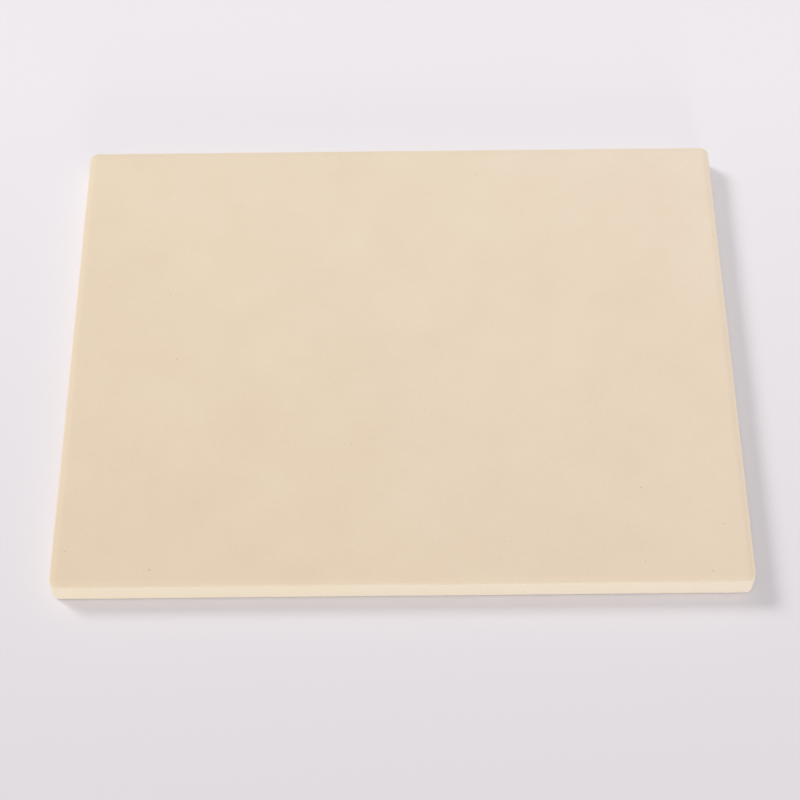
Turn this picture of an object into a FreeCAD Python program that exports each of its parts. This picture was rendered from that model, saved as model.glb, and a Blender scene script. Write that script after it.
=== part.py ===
import FreeCAD, Part
import math
import os

# Rectangular pizza stone: one slab of cordierite, pressed in a die and then fired.
# The real object is a single piece, so the model is one solid with nothing to join or move.
# Millimetres. +Z is up, +X runs along the stone, and the origin is the middle of the underside.

# Driving dimensions
LENGTH = 381.0  # along X, wall to wall
WIDTH = 305.0  # along Y, wall to wall
THICKNESS = 14.0  # from the underside to the baking face
BEVEL_WIDTH = 3.6  # the punch's shallow bevel round each face, seen from above
BEVEL_DROP = 0.8  # how far that bevel falls between the face and the wall
FACE_CORNER_RADIUS = 1.5  # plan radius of the flat face's corners, inside the bevel
CREST_RADIUS = 6.0  # soft blend from the flat face into the bevel
ARRIS_RADIUS = 0.4  # rubbed-down edge between the bevel and the wall

# A round takes up at most this share of the shorter line beside it.
ROUND_SHARE = 0.45

# The wall turns each corner about the same axis as the face inside it.
CORNER_RADIUS = FACE_CORNER_RADIUS + BEVEL_WIDTH
CORNER_X = LENGTH / 2 - CORNER_RADIUS
CORNER_Y = WIDTH / 2 - CORNER_RADIUS

ORIGIN = FreeCAD.Vector(0, 0, 0)
UP = FreeCAD.Vector(0, 0, 1)
QUARTER_TURN = 90.0
MM3_PER_CM3 = 1000.0


def tangent_arc(before, corner, after, radius):
    """Arc that rounds one corner of a profile, limited by the lines on both sides of it."""
    back = before - corner
    ahead = after - corner
    half_turn = (math.pi - back.getAngle(ahead)) / 2
    shorter = min(back.Length, ahead.Length)
    reach = min(radius * math.tan(half_turn), ROUND_SHARE * shorter)
    radius = reach / math.tan(half_turn)
    start = corner + back.normalize() * reach
    end = corner + ahead.normalize() * reach
    inwards = (back + ahead).normalize()
    middle = corner + inwards * (radius / math.cos(half_turn) - radius)
    return Part.Arc(start, middle, end)


def rim_profile():
    """Section through the rim, from the corner axis out to the wall, in the XZ plane."""
    points = [
        FreeCAD.Vector(0, 0, 0),
        FreeCAD.Vector(FACE_CORNER_RADIUS, 0, 0),
        FreeCAD.Vector(CORNER_RADIUS, 0, BEVEL_DROP),
        FreeCAD.Vector(CORNER_RADIUS, 0, THICKNESS - BEVEL_DROP),
        FreeCAD.Vector(FACE_CORNER_RADIUS, 0, THICKNESS),
        FreeCAD.Vector(0, 0, THICKNESS),
    ]
    radii = [CREST_RADIUS, ARRIS_RADIUS, ARRIS_RADIUS, CREST_RADIUS]
    edges = []
    reached = points[0]
    for before, corner, after, radius in zip(points, points[1:], points[2:], radii):
        arc = tangent_arc(before, corner, after, radius)
        edges.append(Part.LineSegment(reached, arc.StartPoint).toShape())
        edges.append(arc.toShape())
        reached = arc.EndPoint
    edges.append(Part.LineSegment(reached, points[-1]).toShape())
    edges.append(Part.LineSegment(points[-1], points[0]).toShape())
    return Part.Face(Part.Wire(edges))


def turned_to(shape, place, quarter):
    """A copy of a shape turned by quarter turns about Z and then set at its place."""
    copy = shape.copy()
    copy.rotate(ORIGIN, UP, QUARTER_TURN * quarter)
    copy.translate(place)
    return copy


def baking_stone():
    """The whole slab: four turned corners, four straight rims and the flat middle between them."""
    profile = rim_profile()
    corner = profile.revolve(ORIGIN, UP, QUARTER_TURN)
    corner_places = [
        FreeCAD.Vector(CORNER_X, CORNER_Y, 0),
        FreeCAD.Vector(-CORNER_X, CORNER_Y, 0),
        FreeCAD.Vector(-CORNER_X, -CORNER_Y, 0),
        FreeCAD.Vector(CORNER_X, -CORNER_Y, 0),
    ]
    next_places = corner_places[1:] + corner_places[:1]
    rims = []
    for quarter, (place, next_place) in enumerate(zip(corner_places, next_places)):
        rims.append(turned_to(corner, place, quarter))
        rims.append(turned_to(profile, place, quarter + 1).extrude(next_place - place))
    low_corner = FreeCAD.Vector(-CORNER_X, -CORNER_Y, 0)
    middle = Part.makeBox(2 * CORNER_X, 2 * CORNER_Y, THICKNESS, low_corner)
    return middle.multiFuse(rims).removeSplitter()


def export(name, shape):
    """Writes one piece as a STEP file, after checking that it is a single closed solid."""
    if not shape.isValid() or len(shape.Solids) != 1:
        raise ValueError(f"{name} is not one valid solid")
    solid = shape.Solids[0]
    solid.exportStep(os.path.join("parts", f"{name}.step"))
    print(f"{name}: {solid.Volume / MM3_PER_CM3:.1f} cm3, {len(solid.Faces)} faces")


os.makedirs("parts", exist_ok=True)
export("baking_stone", baking_stone())
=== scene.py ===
"""Pizza stone: one slab of cordierite, pressed in a die and fired, lying on a pale table."""

import math
import random

import bmesh
import bpy
from bpy.props import FloatProperty, FloatVectorProperty, IntProperty, PointerProperty
from bpy.types import NodeSocket, Operator, Panel, PropertyGroup
from mathutils import Matrix, Vector


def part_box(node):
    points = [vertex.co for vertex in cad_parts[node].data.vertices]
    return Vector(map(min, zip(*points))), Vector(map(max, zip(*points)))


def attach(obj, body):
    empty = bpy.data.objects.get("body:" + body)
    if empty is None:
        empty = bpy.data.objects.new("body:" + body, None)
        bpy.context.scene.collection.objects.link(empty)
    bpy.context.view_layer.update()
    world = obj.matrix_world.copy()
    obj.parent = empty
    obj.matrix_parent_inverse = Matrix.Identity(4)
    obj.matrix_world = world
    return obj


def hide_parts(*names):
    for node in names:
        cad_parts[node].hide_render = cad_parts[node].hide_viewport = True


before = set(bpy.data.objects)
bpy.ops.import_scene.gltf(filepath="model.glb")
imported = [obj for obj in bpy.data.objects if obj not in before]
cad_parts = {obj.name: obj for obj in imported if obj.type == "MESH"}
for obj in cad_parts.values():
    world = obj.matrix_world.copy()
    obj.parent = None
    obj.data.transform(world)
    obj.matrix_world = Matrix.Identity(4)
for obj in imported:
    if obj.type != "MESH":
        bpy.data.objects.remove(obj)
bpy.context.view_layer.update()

bl_info = {
    "name": "Pizza stone",
    "version": (1, 0, 0),
    "blender": (4, 5, 0),
    "location": "3D View > Sidebar > Pizza stone",
    "description": "Models a rectangular baking slab of fired cordierite with its pressed rim",
    "category": "Add Mesh",
}

# Names in the frame
STONE_NODE = "baking_stone"
STONE_BODY = "root"

MM = 0.001
STONE_LOW, STONE_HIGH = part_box(STONE_NODE)
STONE_SIZE = STONE_HIGH - STONE_LOW

# How finely the slab is divided
CORNER_STEPS = 10
ARRIS_STEPS = 5
CREST_STEPS = 4
WALL_ROWS = 4
MESH_PITCH = 4.0 * MM
SNAP = 0.001 * MM
LEVEL_FACE = 0.5  # the upright part of a level face's normal is more than this
SMOOTH_ANGLE = math.radians(35)

# Marks that this stone has, x and y in millimetres from its middle
RIM_MARKS = [(-188.5, 78.5), (-181.5, -151.5), (189.5, 97.5), (188, 83.5), (187.5, 72.5)]
FACE_MARKS = [
    (132.5, -93),
    (130, -117.5),
    (131.5, -140),
    (176, -116.5),
    (167.5, -146),
    (-183, -130),
    (-136.5, -142),
]

# How the pits and nicks vary, as shares of a usual one's size
FACE_MARK_SIZE = 1.6
RIM_MARK_SIZE = 0.8
PIT_RANGE = (0.6, 1.5)
NICK_RANGE = (0.5, 1.2)
NICK_STANDOFF = 0.4  # from the wall out to the middle of a nick
SQUEEZE_RANGE = (0.7, 1.3)  # of a lump along each of its axes
LUMP_NOISE = {"offset": 0.2, "uniform": 0.5, "normal": 0.5, "seed": 3}  # roughens a lump of radius 1
PIT_HEIGHTS = (0.2, 0.8)  # of the pits in a wall, as shares of the thickness

# The fired body
PAINTED_FALLOFF_RISE = 0.74  # painted falloff of the light: the body grows paler and cooler from the stone's front to its back
TONE_REACH = 1  # from the mean to the palest body, or to the most toasted one
CLOUD_SPAN = 30 * MM  # clouds of the kiln's heat
CLOUD_DETAIL = 4
CLOUD_SHARE = 0.9
GRIT_SPAN = 1.1 * MM  # the real grit is about 0.2 mm, too fine to show, so it is drawn coarser
GRIT_DETAIL = 3
GRIT_LOW, GRIT_HIGH = 0.3, 0.7  # usual levels of the grit's noise
GRIT_SHADE_FROM = 0.35  # level at which a grain's shade starts
GRIT_SHADE = 0.08
GRIT_HEIGHT = 0.04 * MM
GROG_PITCH = 2.4 * MM
GROG_CORE, GROG_RADIUS = 0.2 * MM, 0.5 * MM  # a grain is palest in its core
GROG_SHOW = 0.2
IRON_PITCH = 9 * MM
IRON_LEAST, IRON_MOST = 0.1 * MM, 0.45 * MM  # radii of the specks
IRON_SHOW = 0.9
SWELL_SPAN = 6 * MM  # soft waves that the punch leaves in the face
SWELL_DETAIL = 1
SWELL_HEIGHT = 0.06 * MM
SKIN_FADE = 0.2 * MM  # above and below an arris, where the wall's skin ends
ROUGHNESS_SPREAD = 0.06  # to each side of the finish's roughness
CHALKINESS = 0.4  # diffuse roughness of the dry, porous body
CORDIERITE_IOR = 1.54

# Turn, lift and apparent width of the lamps in degrees
KEY_PLACE = (-124.6, 36, 20)
WALL_PLACE = (6, 8, 14)
FRONT_PLACE = (0, 62, 30)
BELOW_PLACE = (0, -60, 60)

# The table and the camera
TABLE_LEDGE = 4 * MM  # how far the table reaches under the stone
TABLE_SIZE = 40.0
TABLE_DARKEST, TABLE_PALEST = -0.3, 0.22  # Y between which the table darkens towards the camera, painted falloff of the light
LAMINATE_ROUGHNESS = 0.7
CAMERA_AIM = Vector((-0.6, -24.0, 0)) * MM

# Sockets of a colour Mix node, which have the same names as its number sockets
MIX_FACTOR, MIX_A, MIX_B, MIX_RESULT = 0, 6, 7, 2


def colour(hex_code):
    """An sRGB hex colour as the linear numbers that Blender keeps."""
    channels = [int(hex_code[i:i + 2], 16) / 255 for i in (1, 3, 5)]
    return [c / 12.92 if c <= 0.04045 else ((c + 0.055) / 1.055) ** 2.4 for c in channels]


def size_value(name, description, default):
    """A length that a user can change."""
    return FloatProperty(name=name, description=description, default=default, unit="LENGTH", precision=5)


def tint_value(name, description, hex_code):
    """A colour that a user can change."""
    return FloatVectorProperty(name=name, description=description, default=colour(hex_code), subtype="COLOR")


def share_value(name, description, default):
    """A share from 0 to 1 that a user can change."""
    return FloatProperty(name=name, description=description, default=default, min=0, max=1, subtype="FACTOR")


def angle_value(name, description, degrees):
    """An angle that a user can change."""
    return FloatProperty(name=name, description=description, default=math.radians(degrees), subtype="ANGLE")


class StoneShape(PropertyGroup):
    """Sizes of the slab and of its pressed rim."""

    length: size_value("Length", "Wall to wall along X", STONE_SIZE.x)
    width: size_value("Width", "Wall to wall along Y", STONE_SIZE.y)
    thickness: size_value("Thickness", "Underside to baking face", STONE_SIZE.z)
    corner_radius: size_value("Corner radius", "Plan radius of the wall", 5.1 * MM)
    bevel_width: size_value("Bevel width", "Bevel round each face, seen from above", 3.6 * MM)
    bevel_drop: size_value("Bevel drop", "Fall of the bevel from face to wall", 0.8 * MM)
    crest_radius: size_value("Crest radius", "Blend from face to bevel", 6.0 * MM)
    arris_radius: size_value("Arris radius", "Rubbed edge from bevel to wall", 0.4 * MM)


class StoneFlaws(PropertyGroup):
    """Small flaws that pressing, firing and handling leave."""

    warp: size_value("Kiln warp", "How far the faces sink where they shrank most", 0.2 * MM)
    warp_span: size_value("Warp span", "Distance between the hollows", 60.0 * MM)
    pit_size: size_value("Pit size", "Radius of a usual lost grain", 0.35 * MM)
    nick_size: size_value("Nick size", "Radius of a usual nick in an arris", 0.6 * MM)
    face_pits: IntProperty(name="Face pits", description="Lost grains on each face", default=45, min=0)
    wall_pits: IntProperty(name="Wall pits", description="Lost grains on each wall", default=8, min=0)
    nicks: IntProperty(name="Nicks", description="Nicks along each side's arrises", default=3, min=0)
    seed: IntProperty(name="Seed", description="Another seed places the flaws anew", default=7, min=0)


class StoneFinish(PropertyGroup):
    """Colours and roughness of the fired body."""

    # Painted light in part: the turn from toasted at the front to pale at the back is painted falloff of the
    # light; the clouds between the two are the body's own.
    toasted: tint_value("Toasted", "Body where the kiln ran hotter", "#E0CCB4")
    pale: tint_value("Pale", "Body where the kiln ran cooler", "#EEE0CD")
    # Painted light on the wall: this tint at the left end stands in for the dimmer, warmer light there.
    left_end_shade: tint_value("Flame", "Tint of the end that lay nearer the flame", "#FFFEF9")
    # Painted light in part: the wall's paler tint also stands in for the front light that made the wall
    # brighter than the face.
    wall: tint_value("Wall", "Close skin that slid along the die", "#ECE0CC")
    grit: tint_value("Grit", "Darker grains that stand out of the face", "#CDB698")
    grog: tint_value("Grog", "Pale crushed grains", "#F2E6D3")
    iron: tint_value("Iron", "Rare dark specks", "#A58C6B")
    roughness: share_value("Roughness", "Unglazed surface", 0.85)


class StoneStage(PropertyGroup):
    """The table, the light and the camera."""

    table: tint_value("Table", "Table top behind the stone", "#ECE8EC")
    # Painted light: the table is darker towards the camera, as the light fell off there.
    falloff_table_front: tint_value("Table in front", "Table top towards the camera", "#DCD7DB")
    ambient: share_value("Ambient", "Even light from all round", 0.33)
    key: share_value("Key", "Light on a surface that faces the key light", 0.49)
    wall: share_value("Wall light", "Light on a surface that faces the low lamp in front", 0.24)
    front: share_value("Front light", "Light on a surface that faces the high lamp in front", 0.41)
    below: share_value("Light from below", "Light on the underside, through the table's opening", 0.6)
    turn: angle_value("Camera turn", "To the right of the stone's front", 0.3942)
    lift: angle_value("Camera lift", "Above the table", 56.2568)
    roll: angle_value("Camera roll", "About the line of sight", -0.8989)
    distance: size_value("Camera distance", "From the point aimed at", 1.2072)
    lens: FloatProperty(name="Lens", description="Focal length", default=94.198, unit="CAMERA")


def add_node(tree, kind, inputs=None, **settings):
    """Adds a node with its settings, and sets or links its inputs."""
    made = tree.nodes.new(kind)
    for name, value in settings.items():
        setattr(made, name, value)
    for name, value in (inputs or {}).items():
        if isinstance(value, NodeSocket):
            tree.links.new(value, made.inputs[name])
        else:
            made.inputs[name].default_value = value
    return made


def empty_material(name):
    """A material whose nodes are still to be added."""
    material = bpy.data.materials.new(name)
    material.use_nodes = True
    material.node_tree.nodes.clear()
    return material


def kiln_tone(tree, place, finish, shape):
    """Body colour: cloudy from the kiln's heat, and darker and warmer at the front, paler at the back, which
    is painted falloff of the light.
    """
    # Painted light: this slope makes the body darker and warmer towards the front, where less light fell.
    falloff_step = (0, PAINTED_FALLOFF_RISE / shape.width, 0)
    slope = add_node(tree, "ShaderNodeVectorMath", {0: place, 1: falloff_step}, operation="DOT_PRODUCT")
    clouds = add_node(
        tree, "ShaderNodeTexNoise", {"Vector": place, "Scale": 1 / CLOUD_SPAN, "Detail": CLOUD_DETAIL}
    )
    clouds_and_falloff = add_node(
        tree,
        "ShaderNodeMath",
        {0: clouds.outputs["Fac"], 1: CLOUD_SHARE, 2: slope.outputs["Value"]},
        operation="MULTIPLY_ADD",
    )
    mean_clouds_and_falloff = CLOUD_SHARE / 2
    paleness = add_node(
        tree,
        "ShaderNodeMapRange",
        {
            "Value": clouds_and_falloff.outputs[0],
            "From Min": mean_clouds_and_falloff - TONE_REACH,
            "From Max": mean_clouds_and_falloff + TONE_REACH,
        },
    )
    tone = add_node(
        tree,
        "ShaderNodeMix",
        {MIX_FACTOR: paleness.outputs[0], MIX_A: (*finish.toasted, 1), MIX_B: (*finish.pale, 1)},
        data_type="RGBA",
    )
    return tone.outputs[MIX_RESULT]


def shade_left_end(tree, place, finish, shape, tone):
    """Warms and a little darkens the body towards its left end. On the wall this is painted falloff of the
    light towards that end.
    """
    along = add_node(tree, "ShaderNodeSeparateXYZ", {0: place}).outputs["X"]
    half = shape.length / 2
    leftness = add_node(
        tree,
        "ShaderNodeMapRange",
        {"Value": along, "From Min": -half, "From Max": half, "To Min": 1, "To Max": 0},
    )
    warmed = add_node(
        tree,
        "ShaderNodeMix",
        {MIX_FACTOR: leftness.outputs[0], MIX_A: tone, MIX_B: (*finish.left_end_shade, 1)},
        data_type="RGBA",
        blend_type="MULTIPLY",
    )
    return warmed.outputs[MIX_RESULT]


def paler_wall_painted_light(tree, place, finish, shape, tone):
    """The paler wall: in part a closer skin that slid along the die, in part painted light from the front
    that makes it brighter than the face. It ends at the arrises.
    """
    middle = shape.thickness / 2
    height = add_node(tree, "ShaderNodeSeparateXYZ", {0: place}).outputs["Z"]
    offset = add_node(tree, "ShaderNodeMath", {0: height, 1: middle}, operation="SUBTRACT")
    from_middle = add_node(tree, "ShaderNodeMath", {0: offset.outputs[0]}, operation="ABSOLUTE")
    wall_end = middle - shape.bevel_drop
    closeness = add_node(
        tree,
        "ShaderNodeMapRange",
        {
            "Value": from_middle.outputs[0],
            "From Min": wall_end - SKIN_FADE,
            "From Max": wall_end + SKIN_FADE,
            "To Min": 1,
            "To Max": 0,
        },
    )
    skin = add_node(
        tree,
        "ShaderNodeMix",
        {MIX_FACTOR: closeness.outputs[0], MIX_A: tone, MIX_B: (*finish.wall, 1)},
        data_type="RGBA",
    )
    return skin.outputs[MIX_RESULT]


def shaded_grit(tree, grit, finish, tone):
    """Shades the grains of grit, which stand a little out of the face."""
    grains = add_node(
        tree,
        "ShaderNodeMapRange",
        {"Value": grit, "From Min": GRIT_SHADE_FROM, "From Max": GRIT_HIGH, "To Max": GRIT_SHADE},
    )
    shaded = add_node(
        tree,
        "ShaderNodeMix",
        {MIX_FACTOR: grains.outputs[0], MIX_A: tone, MIX_B: (*finish.grit, 1)},
        data_type="RGBA",
    )
    return shaded.outputs[MIX_RESULT]


def pale_grog(tree, place, finish, tone):
    """Scatters pale grog grains under 1 mm, one to each cell."""
    cells = add_node(tree, "ShaderNodeTexVoronoi", {"Vector": place, "Scale": 1 / GROG_PITCH})
    grain = add_node(
        tree,
        "ShaderNodeMapRange",
        {
            "Value": cells.outputs["Distance"],
            "From Min": GROG_CORE / GROG_PITCH,
            "From Max": GROG_RADIUS / GROG_PITCH,
            "To Min": GROG_SHOW,
            "To Max": 0,
        },
    )
    grained = add_node(
        tree,
        "ShaderNodeMix",
        {MIX_FACTOR: grain.outputs[0], MIX_A: tone, MIX_B: (*finish.grog, 1)},
        data_type="RGBA",
    )
    return grained.outputs[MIX_RESULT]


def iron_specks(tree, place, finish, tone):
    """Scatters dark iron specks of up to 0.9 mm, each cell's with a size of its own."""
    cells = add_node(tree, "ShaderNodeTexVoronoi", {"Vector": place, "Scale": 1 / IRON_PITCH})
    own_size = add_node(tree, "ShaderNodeSeparateColor", {0: cells.outputs["Color"]})
    reach = add_node(
        tree,
        "ShaderNodeMapRange",
        {
            "Value": own_size.outputs["Red"],
            "To Min": IRON_LEAST / IRON_PITCH,
            "To Max": IRON_MOST / IRON_PITCH,
        },
    )
    speck = add_node(
        tree,
        "ShaderNodeMapRange",
        {
            "Value": cells.outputs["Distance"],
            "From Max": reach.outputs[0],
            "To Min": IRON_SHOW,
            "To Max": 0,
        },
    )
    specked = add_node(
        tree,
        "ShaderNodeMix",
        {MIX_FACTOR: speck.outputs[0], MIX_A: tone, MIX_B: (*finish.iron, 1)},
        data_type="RGBA",
    )
    return specked.outputs[MIX_RESULT]


def fired_relief(tree, place, grit):
    """Normal of the fired surface: a soft swell from the press with the grit on top of it."""
    swell = add_node(
        tree, "ShaderNodeTexNoise", {"Vector": place, "Scale": 1 / SWELL_SPAN, "Detail": SWELL_DETAIL}
    )
    pressed = add_node(tree, "ShaderNodeBump", {"Height": swell.outputs["Fac"], "Distance": SWELL_HEIGHT})
    gritty = add_node(
        tree,
        "ShaderNodeBump",
        {"Height": grit, "Distance": GRIT_HEIGHT, "Normal": pressed.outputs["Normal"]},
    )
    return gritty.outputs["Normal"]


def fired_cordierite(finish, shape):
    """Cordierite body, pressed dry in a steel die and fired without a glaze.

    It gives the eye a dead matt cream face with faint clouds from the kiln, fine grit, pale grog and a few
    dark specks. Its colour also holds painted light: darker towards the front, a dimmer left end of the
    wall, and walls paler than the face. The wall slid along the die, so part of that paleness is a closer
    skin.
    """
    material = empty_material("unglazed_fired_cordierite")
    tree = material.node_tree
    place = add_node(tree, "ShaderNodeTexCoord").outputs["Object"]
    noise = add_node(
        tree, "ShaderNodeTexNoise", {"Vector": place, "Scale": 1 / GRIT_SPAN, "Detail": GRIT_DETAIL}
    )
    grit = noise.outputs["Fac"]
    tone = kiln_tone(tree, place, finish, shape)
    tone = paler_wall_painted_light(tree, place, finish, shape, tone)
    tone = shade_left_end(tree, place, finish, shape, tone)
    tone = shaded_grit(tree, grit, finish, tone)
    tone = pale_grog(tree, place, finish, tone)
    tone = iron_specks(tree, place, finish, tone)
    roughness = add_node(
        tree,
        "ShaderNodeMapRange",
        {
            "Value": grit,
            "From Min": GRIT_LOW,
            "From Max": GRIT_HIGH,
            "To Min": finish.roughness - ROUGHNESS_SPREAD,
            "To Max": finish.roughness + ROUGHNESS_SPREAD,
        },
    )
    shader = add_node(
        tree,
        "ShaderNodeBsdfPrincipled",
        {
            "Base Color": tone,
            "Roughness": roughness.outputs[0],
            "Diffuse Roughness": CHALKINESS,
            "IOR": CORDIERITE_IOR,
            "Normal": fired_relief(tree, place, grit),
        },
    )
    add_node(tree, "ShaderNodeOutputMaterial", {"Surface": shader.outputs["BSDF"]})
    return material


def white_laminate(stage):
    """Matt white laminate: even and pale, a little darker towards the camera as painted falloff of the
    light, clear when seen from below.
    """
    material = empty_material("matt_white_laminate")
    tree = material.node_tree
    place = add_node(tree, "ShaderNodeTexCoord").outputs["Object"]
    depth = add_node(tree, "ShaderNodeSeparateXYZ", {0: place}).outputs["Y"]
    to_back = add_node(
        tree, "ShaderNodeMapRange", {"Value": depth, "From Min": TABLE_DARKEST, "From Max": TABLE_PALEST}
    )
    tone = add_node(
        tree,
        "ShaderNodeMix",
        {
            MIX_FACTOR: to_back.outputs["Result"],
            MIX_A: (*stage.falloff_table_front, 1),
            MIX_B: (*stage.table, 1),
        },
        data_type="RGBA",
    )
    top = add_node(
        tree,
        "ShaderNodeBsdfPrincipled",
        {"Base Color": tone.outputs[MIX_RESULT], "Roughness": LAMINATE_ROUGHNESS},
    )
    clear = add_node(tree, "ShaderNodeBsdfTransparent")
    from_below = add_node(tree, "ShaderNodeNewGeometry").outputs["Backfacing"]
    surface = add_node(tree, "ShaderNodeMixShader", {0: from_below, 1: top.outputs[0], 2: clear.outputs[0]})
    add_node(tree, "ShaderNodeOutputMaterial", {"Surface": surface.outputs[0]})
    return material


def select_parts(piece, kind, test):
    """In edit mode, selects the edges or faces that pass a test, and nothing else."""
    bpy.ops.mesh.select_mode(type=kind)
    bpy.ops.mesh.select_all(action="DESELECT")
    cage = bmesh.from_edit_mesh(piece.data)
    parts = {"EDGE": cage.edges, "FACE": cage.faces}[kind]
    for part in parts:
        part.select_set(test(part))
    cage.select_flush_mode()
    bmesh.update_edit_mesh(piece.data)


def rise(edge):
    """How far an edge climbs."""
    return abs(edge.verts[0].co.z - edge.verts[1].co.z)


def round_edges(reach, steps):
    """In edit mode, rounds the selected edges from one tangent line to the other."""
    bpy.ops.mesh.bevel(offset=reach, segments=steps, affect="EDGES", clamp_overlap=False)


def press_block(shape):
    """Adds a block as high as the wall and rounds its upright edges to the plan's corners."""
    bpy.ops.object.select_all(action="DESELECT")
    bpy.ops.mesh.primitive_cube_add(size=1, location=(0, 0, shape.thickness / 2))
    slab = bpy.context.object
    slab.name = "pressed_slab"
    wall_height = shape.thickness - 2 * shape.bevel_drop
    bpy.ops.transform.resize(value=(shape.length, shape.width, wall_height))
    bpy.ops.object.transform_apply(location=True, rotation=True, scale=True)
    bpy.ops.object.mode_set(mode="EDIT")
    select_parts(slab, "EDGE", lambda edge: rise(edge) > SNAP)
    round_edges(shape.corner_radius, CORNER_STEPS)
    return slab


def round_level_edges(slab, heights, reach, steps):
    """Rounds the level edges at these heights."""
    def at_height(edge):
        return any(all(abs(v.co.z - height) < SNAP for v in edge.verts) for height in heights)

    select_parts(slab, "EDGE", at_height)
    round_edges(reach, steps)


def press_rims(slab, shape):
    """Raises both faces inside their bevel, then rounds the outer arris and the inner crest."""
    select_parts(slab, "FACE", lambda face: abs(face.normal.z) > LEVEL_FACE)
    bpy.ops.mesh.inset(thickness=shape.bevel_width, depth=shape.bevel_drop)
    slope = math.atan2(shape.bevel_drop, shape.bevel_width)
    arris_reach = shape.arris_radius * math.tan((math.pi / 2 - slope) / 2)
    crest_reach = shape.crest_radius * math.tan(slope / 2)
    round_level_edges(slab, (shape.bevel_drop, shape.thickness - shape.bevel_drop), arris_reach, ARRIS_STEPS)
    round_level_edges(slab, (0, shape.thickness), crest_reach, CREST_STEPS)


def runs_along(edge, axis, least):
    """Whether an edge is straight along X or Y and longer than this."""
    step = edge.verts[1].co - edge.verts[0].co
    return abs(step[axis]) > least and abs(step[1 - axis]) < SNAP


def lay_mesh_lines(slab, shape):
    """Divides the straight runs, the faces between them and the wall into small quads."""
    for axis, side in enumerate((shape.length, shape.width)):
        select_parts(slab, "EDGE", lambda edge: runs_along(edge, axis, side / 2))
        bpy.ops.mesh.subdivide(number_cuts=round(side / MESH_PITCH) - 1)
    select_parts(slab, "EDGE", lambda edge: rise(edge) > shape.thickness / 2)
    bpy.ops.mesh.subdivide(number_cuts=WALL_ROWS - 1)
    bpy.ops.object.mode_set(mode="OBJECT")


def apply_modifier(piece, name, kind, **settings):
    """Adds a modifier with its settings and applies it."""
    modifier = piece.modifiers.new(name, kind)
    for setting, value in settings.items():
        setattr(modifier, setting, value)
    bpy.ops.object.select_all(action="DESELECT")
    bpy.context.view_layer.objects.active = piece
    piece.select_set(True)
    bpy.ops.object.modifier_apply(modifier=name)


def shrink_in_kiln(slab, flaws):
    """Lets the surface sink a little here and there, never outwards."""
    hollows = bpy.data.textures.new("kiln_hollows", "CLOUDS")
    hollows.noise_scale = flaws.warp_span
    hollows.noise_depth = 1
    settings = {"texture": hollows, "texture_coords": "LOCAL", "strength": flaws.warp, "mid_level": 1}
    apply_modifier(slab, "kiln_warp", "DISPLACE", **settings)


def rim_height(shape, x, y):
    """Height of the upper bevel or face at a place seen from above."""
    from_wall = min(shape.length / 2 - abs(x), shape.width / 2 - abs(y))
    return shape.thickness - shape.bevel_drop * max(0, 1 - from_wall / shape.bevel_width)


def face_places(shape, chance, count):
    """Random places seen from above, on the flat of a face."""
    margin = shape.corner_radius
    reach = Vector((shape.length / 2 - margin, shape.width / 2 - margin))
    return [(chance.uniform(-reach.x, reach.x), chance.uniform(-reach.y, reach.y)) for _ in range(count)]


def side_places(shape, chance, count):
    """Random places on the walls of the four sides, with the way that each wall faces."""
    for quarter in range(4):
        facing = Matrix.Rotation(quarter * math.pi / 2, 3, "Z") @ Vector((1, 0, 0))
        along = Vector((-facing.y, facing.x, 0))
        sides = (shape.length, shape.width) if quarter % 2 == 0 else (shape.width, shape.length)
        run = sides[1] / 2 - shape.corner_radius
        for _ in range(count):
            yield facing * sides[0] / 2 + along * chance.uniform(-run, run), facing


def lost_grains(shape, flaws, chance):
    """Places and sizes of the pits that lost grains leave on both faces and on the walls."""
    def size():
        return flaws.pit_size * chance.uniform(*PIT_RANGE)

    for x, y in FACE_MARKS:
        yield Vector((x * MM, y * MM, shape.thickness)), flaws.pit_size * FACE_MARK_SIZE
    for x, y in face_places(shape, chance, flaws.face_pits):
        yield Vector((x, y, shape.thickness)), size()
    for x, y in face_places(shape, chance, flaws.face_pits):
        yield Vector((x, y, 0)), size()
    for place, _ in side_places(shape, chance, flaws.wall_pits):
        yield place + Vector((0, 0, shape.thickness * chance.uniform(*PIT_HEIGHTS))), size()


def struck_arrises(shape, flaws, chance):
    """Places and sizes of the nicks along the arrises, most of them on the upper one."""
    for x, y in RIM_MARKS:
        yield Vector((x * MM, y * MM, rim_height(shape, x * MM, y * MM))), flaws.nick_size * RIM_MARK_SIZE
    upper = shape.thickness - shape.bevel_drop
    for place, facing in side_places(shape, chance, flaws.nicks):
        height = chance.choice((upper, upper, shape.bevel_drop))
        size = flaws.nick_size * chance.uniform(*NICK_RANGE)
        yield place + facing * size * NICK_STANDOFF + Vector((0, 0, height)), size


def lump():
    """A rough lump of radius 1, the form that a grain or a blow takes out of the slab."""
    bpy.ops.object.select_all(action="DESELECT")
    bpy.ops.mesh.primitive_ico_sphere_add(subdivisions=2, radius=1)
    made = bpy.context.object
    bpy.ops.object.mode_set(mode="EDIT")
    bpy.ops.mesh.select_all(action="SELECT")
    bpy.ops.transform.vertex_random(**LUMP_NOISE)
    bpy.ops.object.mode_set(mode="OBJECT")
    return made


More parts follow.
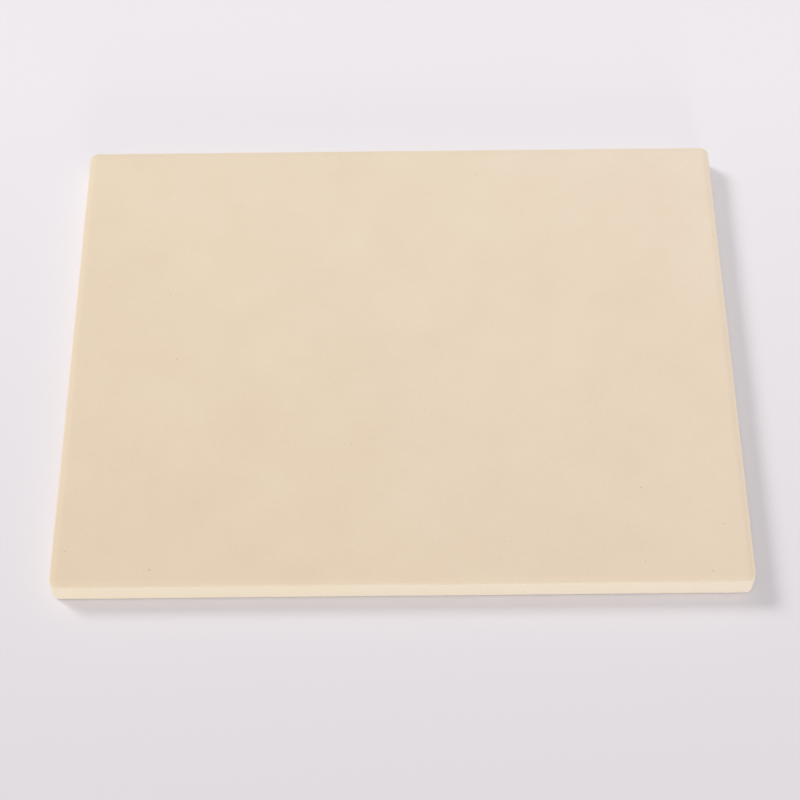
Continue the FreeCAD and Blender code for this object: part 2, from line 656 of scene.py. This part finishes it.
def take_out(slab, places, chance):
    """Copies a lump to each place, turned and squeezed at random, and cuts them all out of the slab."""
    first = lump()
    copies = []
    for place, size in places:
        copy = first.copy()
        copy.data = first.data.copy()
        bpy.context.collection.objects.link(copy)
        copy.location = place
        copy.rotation_euler = [chance.uniform(0, math.tau) for _ in range(3)]
        copy.scale = [size * chance.uniform(*SQUEEZE_RANGE) for _ in range(3)]
        copies.append(copy)
    bpy.data.objects.remove(first)
    for copy in copies:
        copy.select_set(True)
    bpy.context.view_layer.objects.active = copies[0]
    bpy.ops.object.join()
    lumps = bpy.context.object
    bpy.ops.object.transform_apply(location=True, rotation=True, scale=True)
    apply_modifier(slab, "take_out", "BOOLEAN", object=lumps, operation="DIFFERENCE", solver="EXACT")
    bpy.data.objects.remove(lumps)


def clean_up(slab):
    """Merges doubles, turns the faces outwards and shades flats flat and rounds round."""
    bpy.ops.object.mode_set(mode="EDIT")
    bpy.ops.mesh.select_all(action="SELECT")
    bpy.ops.mesh.remove_doubles(threshold=SNAP)
    bpy.ops.mesh.normals_make_consistent(inside=False)
    bpy.ops.object.mode_set(mode="OBJECT")
    bpy.ops.object.shade_smooth_by_angle(angle=SMOOTH_ANGLE)
    apply_modifier(slab, "flat_faces", "WEIGHTED_NORMAL", keep_sharp=True)


class PIZZASTONE_OT_slab(Operator):
    """Model the slab with its pressed rim and small flaws, and give it its fired finish"""

    bl_idname = "pizzastone.slab"
    bl_label = "Press and fire the slab"

    def execute(self, context):
        shape = context.scene.stone_shape
        flaws = context.scene.stone_flaws
        chance = random.Random(flaws.seed)
        slab = press_block(shape)
        press_rims(slab, shape)
        lay_mesh_lines(slab, shape)
        shrink_in_kiln(slab, flaws)
        take_out(slab, list(lost_grains(shape, flaws, chance)), chance)
        take_out(slab, list(struck_arrises(shape, flaws, chance)), chance)
        clean_up(slab)
        slab.data.materials.clear()
        slab.data.materials.append(fired_cordierite(context.scene.stone_finish, shape))
        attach(slab, STONE_BODY)
        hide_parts(STONE_NODE)
        return {"FINISHED"}


def way_to(turn, lift):
    """Direction from the stone to something round it. A turn of 0 is in front of the stone, towards -Y."""
    return Vector((math.sin(turn) * math.cos(lift), -math.cos(turn) * math.cos(lift), math.sin(lift)))


def far_lamp(name, share, turn, lift, width):
    """Adds a soft lamp, far off, that gives this share of plain light to a surface that faces it."""
    way = way_to(math.radians(turn), math.radians(lift))
    aimed = way.to_track_quat("Z", "Y").to_euler()
    bpy.ops.object.light_add(type="SUN", location=way, rotation=aimed)
    lamp = bpy.context.object
    lamp.name = name
    lamp.data.angle = math.radians(width)
    lamp.data.energy = share * math.pi


def lay_table(stage, shape):
    """A table top that reaches out of view, open under the stone to let light onto its underside."""
    bpy.ops.object.select_all(action="DESELECT")
    bpy.ops.mesh.primitive_plane_add(size=TABLE_SIZE)
    table = bpy.context.object
    table.name = "table_top"
    bpy.ops.object.mode_set(mode="EDIT")
    bpy.ops.mesh.select_all(action="SELECT")
    inner = TABLE_SIZE / 2
    bpy.ops.mesh.inset(thickness=(TABLE_SIZE - inner) / 2)
    opening = [(side - 2 * TABLE_LEDGE) / inner for side in (shape.length, shape.width)]
    bpy.ops.transform.resize(value=(*opening, 1))
    bpy.ops.mesh.delete(type="FACE")
    bpy.ops.object.mode_set(mode="OBJECT")
    table.data.materials.append(white_laminate(stage))


def light_studio(scene, stage):
    """Even light, a soft key from behind at the left, a low and a high lamp in front, and one below."""
    world = bpy.data.worlds.new("studio")
    world.use_nodes = True
    tree = world.node_tree
    tree.nodes.clear()
    even = add_node(tree, "ShaderNodeBackground", {"Color": (1, 1, 1, 1), "Strength": stage.ambient})
    pale = add_node(tree, "ShaderNodeBackground", {"Color": (*stage.table, 1), "Strength": 1})
    rays = add_node(tree, "ShaderNodeLightPath").outputs
    seen = rays["Is Camera Ray"]
    for kind in ("Is Glossy Ray", "Is Transmission Ray"):
        seen = add_node(tree, "ShaderNodeMath", {0: seen, 1: rays[kind]}, operation="MAXIMUM").outputs[0]
    both = add_node(tree, "ShaderNodeMixShader", {0: seen, 1: even.outputs[0], 2: pale.outputs[0]})
    add_node(tree, "ShaderNodeOutputWorld", {"Surface": both.outputs[0]})
    scene.world = world
    far_lamp("key_light", stage.key, *KEY_PLACE)
    far_lamp("wall_light", stage.wall, *WALL_PLACE)
    far_lamp("front_light", stage.front, *FRONT_PLACE)
    far_lamp("light_from_below", stage.below, *BELOW_PLACE)


def set_camera(scene, stage):
    """The camera of the photograph, aimed a little in front of the stone's middle."""
    turned = (
        Matrix.Rotation(stage.turn, 3, "Z")
        @ Matrix.Rotation(math.pi / 2 - stage.lift, 3, "X")
        @ Matrix.Rotation(stage.roll, 3, "Z")
    )
    place = CAMERA_AIM + way_to(stage.turn, stage.lift) * stage.distance
    bpy.ops.object.camera_add(location=place, rotation=turned.to_euler())
    scene.camera = bpy.context.object
    scene.camera.data.lens = stage.lens


class PIZZASTONE_OT_stage(Operator):
    """Lay the table, light it and set up the camera"""

    bl_idname = "pizzastone.stage"
    bl_label = "Set the stage"

    def execute(self, context):
        scene = context.scene
        lay_table(scene.stone_stage, scene.stone_shape)
        light_studio(scene, scene.stone_stage)
        set_camera(scene, scene.stone_stage)
        scene.view_settings.view_transform = "Standard"
        return {"FINISHED"}


class PIZZASTONE_PT_panel(Panel):
    """Lists the stone's settings and steps"""

    bl_idname = "PIZZASTONE_PT_panel"
    bl_label = "Pizza stone"
    bl_space_type = "VIEW_3D"
    bl_region_type = "UI"
    bl_category = "Pizza stone"

    def draw(self, context):
        scene = context.scene
        for group in (scene.stone_shape, scene.stone_flaws, scene.stone_finish):
            for name in group.__annotations__:
                self.layout.prop(group, name)
        self.layout.operator(PIZZASTONE_OT_slab.bl_idname)
        for name in scene.stone_stage.__annotations__:
            self.layout.prop(scene.stone_stage, name)
        self.layout.operator(PIZZASTONE_OT_stage.bl_idname)


CLASSES = (
    StoneShape,
    StoneFlaws,
    StoneFinish,
    StoneStage,
    PIZZASTONE_OT_slab,
    PIZZASTONE_OT_stage,
    PIZZASTONE_PT_panel,
)
SETTINGS = {
    "stone_shape": StoneShape,
    "stone_flaws": StoneFlaws,
    "stone_finish": StoneFinish,
    "stone_stage": StoneStage,
}


def register():
    for item in CLASSES:
        bpy.utils.register_class(item)
    for name, group in SETTINGS.items():
        setattr(bpy.types.Scene, name, PointerProperty(type=group))


def unregister():
    for name in SETTINGS:
        delattr(bpy.types.Scene, name)
    for item in reversed(CLASSES):
        bpy.utils.unregister_class(item)


def main():
    register()
    bpy.ops.pizzastone.slab()
    bpy.ops.pizzastone.stage()


if __name__ == "__main__":
    main()
